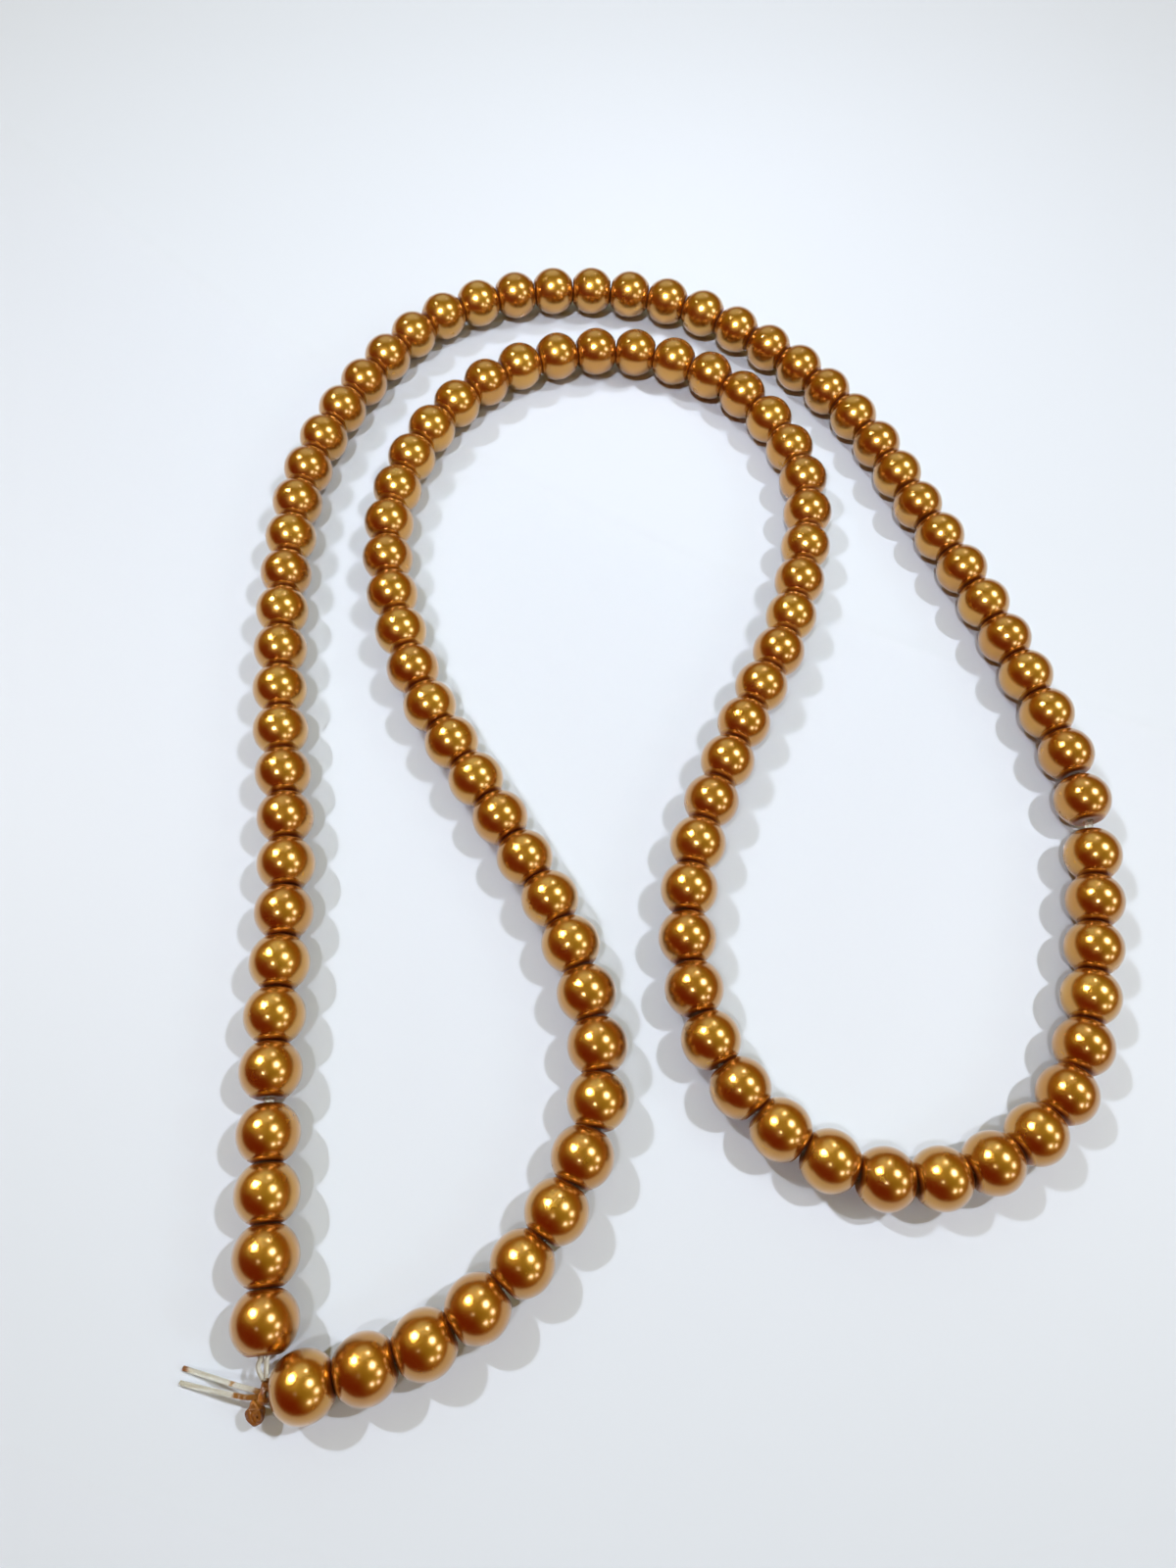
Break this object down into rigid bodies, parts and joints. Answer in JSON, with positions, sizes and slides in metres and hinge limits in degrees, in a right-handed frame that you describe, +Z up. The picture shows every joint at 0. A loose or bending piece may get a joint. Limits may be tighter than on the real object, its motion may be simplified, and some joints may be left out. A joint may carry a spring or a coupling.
{
  "type": "beaded necklace",
  "caption": "Long strand of round golden-bronze glass pearls on clear nylon thread, knotted, laid flat in a folded loop.",
  "frame": {"origin": "bottom centre of the bounding box, on the surface that the beads lie on", "axes": "+Z up from that surface, +Y the long way of the laid-out strand from its tied end to its round end, +X to the right seen from above"},
  "size_m": [0.132, 0.1884, 0.008],
  "materials": {
    "pearl_coat": "opaque metallic golden-bronze pearl lacquer over a glass bead, high gloss",
    "clear_thread": "clear nylon monofilament, faintly amber at the knot"
  },
  "bodies": {
    "root": {"bead_string_outer": "pearl_coat", "bead_string_inner": "pearl_coat", "knotted_thread": "clear_thread"}
  },
  "joints": []
}
